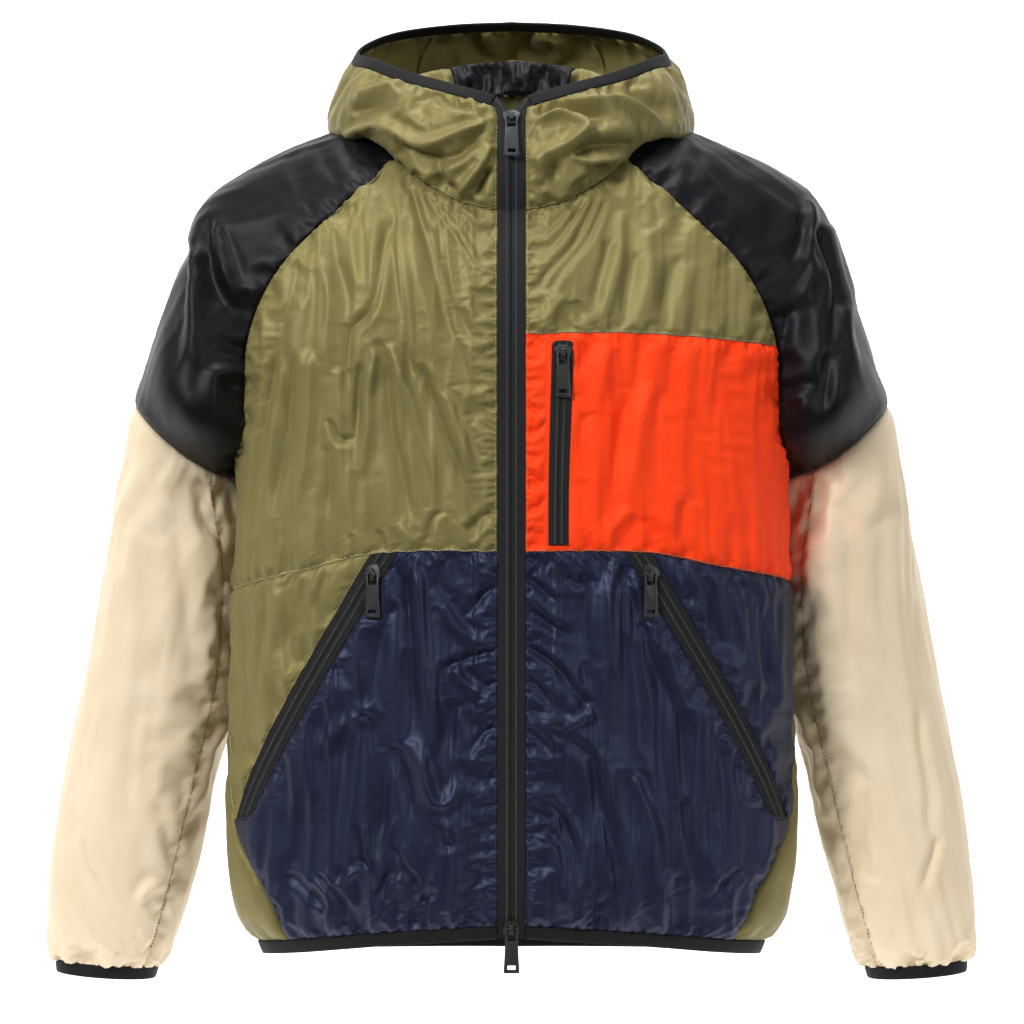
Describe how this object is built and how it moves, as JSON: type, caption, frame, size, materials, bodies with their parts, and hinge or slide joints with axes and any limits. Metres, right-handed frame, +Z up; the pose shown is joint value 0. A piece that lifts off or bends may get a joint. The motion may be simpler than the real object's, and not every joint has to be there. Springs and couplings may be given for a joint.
{
  "type": "windbreaker jacket",
  "caption": "Hooded colour-block windbreaker jacket filled out as worn, full-length two-way zip closed, raglan sleeves, chest and hand pockets, elastic hem and cuffs.",
  "frame": {"origin": "in the middle of the neck, level with the tops of the wearer's shoulders, which carry the jacket", "axes": "+Z up, +X the wearer's left, -Y the front of the jacket, where the zip is"},
  "size_m": [0.7866, 0.3193, 0.8301],
  "materials": {
    "olive_nylon": "satin",
    "navy_nylon": "satin",
    "orange_nylon": "satin",
    "black_nylon": "satin",
    "cream_nylon": "matte",
    "black_elastic": "ribbed",
    "black_zip_tape": "woven",
    "black_zip_metal": "semi-matte"
  },
  "bodies": {
    "jacket": {"back": "olive_nylon", "front_chest_right": "olive_nylon", "front_yoke_left": "olive_nylon", "chest_panel_left": "orange_nylon", "chest_pocket_zip": "black_zip_tape", "pocket_side_left": "navy_nylon", "pocket_side_right": "olive_nylon", "pocket_zip_left": "black_zip_tape", "pocket_zip_right": "black_zip_tape", "front_lower_left": "navy_nylon", "front_lower_right": "navy_nylon", "hem_binding": "black_elastic", "sleeve_upper_left": "black_nylon", "sleeve_upper_right": "black_nylon", "sleeve_lower_left": "cream_nylon", "sleeve_lower_right": "cream_nylon", "cuff_binding_left": "black_elastic", "cuff_binding_right": "black_elastic", "hood_side_left": "olive_nylon", "hood_side_right": "olive_nylon", "hood_centre": "olive_nylon", "hood_binding": "black_elastic", "neck_facing": "black_nylon", "front_zip_tape_left": "black_zip_tape", "front_zip_tape_right": "black_zip_tape", "front_slider_top": "black_zip_metal", "front_slider_bottom": "black_zip_metal", "chest_slider": "black_zip_metal", "pocket_slider_left": "black_zip_metal", "pocket_slider_right": "black_zip_metal"},
    "front_pull_top": {"front_pull_top": "black_zip_metal"},
    "front_pull_bottom": {"front_pull_bottom": "black_zip_metal"},
    "chest_pull": {"chest_pull": "black_zip_metal"},
    "pocket_pull_left": {"pocket_pull_left": "black_zip_metal"},
    "pocket_pull_right": {"pocket_pull_right": "black_zip_metal"}
  },
  "joints": [
    {"name": "front_pull_top_swing", "type": "hinge", "parent": "jacket", "child": "front_pull_top", "pos_m": [0, -0.09838, 0.01832], "axis": [-1, 0, 0], "range_deg": [0, 170]},
    {"name": "front_pull_bottom_swing", "type": "hinge", "parent": "jacket", "child": "front_pull_bottom", "pos_m": [0, -0.12654, -0.6489], "axis": [-1, 0, 0], "range_deg": [-10, 150]},
    {"name": "chest_pull_swing", "type": "hinge", "parent": "jacket", "child": "chest_pull", "pos_m": [0.04201, -0.13293, -0.17792], "axis": [-0.9991, -0.0417, 0], "range_deg": [0, 170]},
    {"name": "pocket_pull_left_swing", "type": "hinge", "parent": "jacket", "child": "pocket_pull_left", "pos_m": [0.11378, -0.12632, -0.358], "axis": [-0.9831, -0.1832, 0], "range_deg": [0, 170]},
    {"name": "pocket_pull_right_swing", "type": "hinge", "parent": "jacket", "child": "pocket_pull_right", "pos_m": [-0.11378, -0.12632, -0.358], "axis": [-0.9831, 0.1832, 0], "range_deg": [0, 170]}
  ]
}
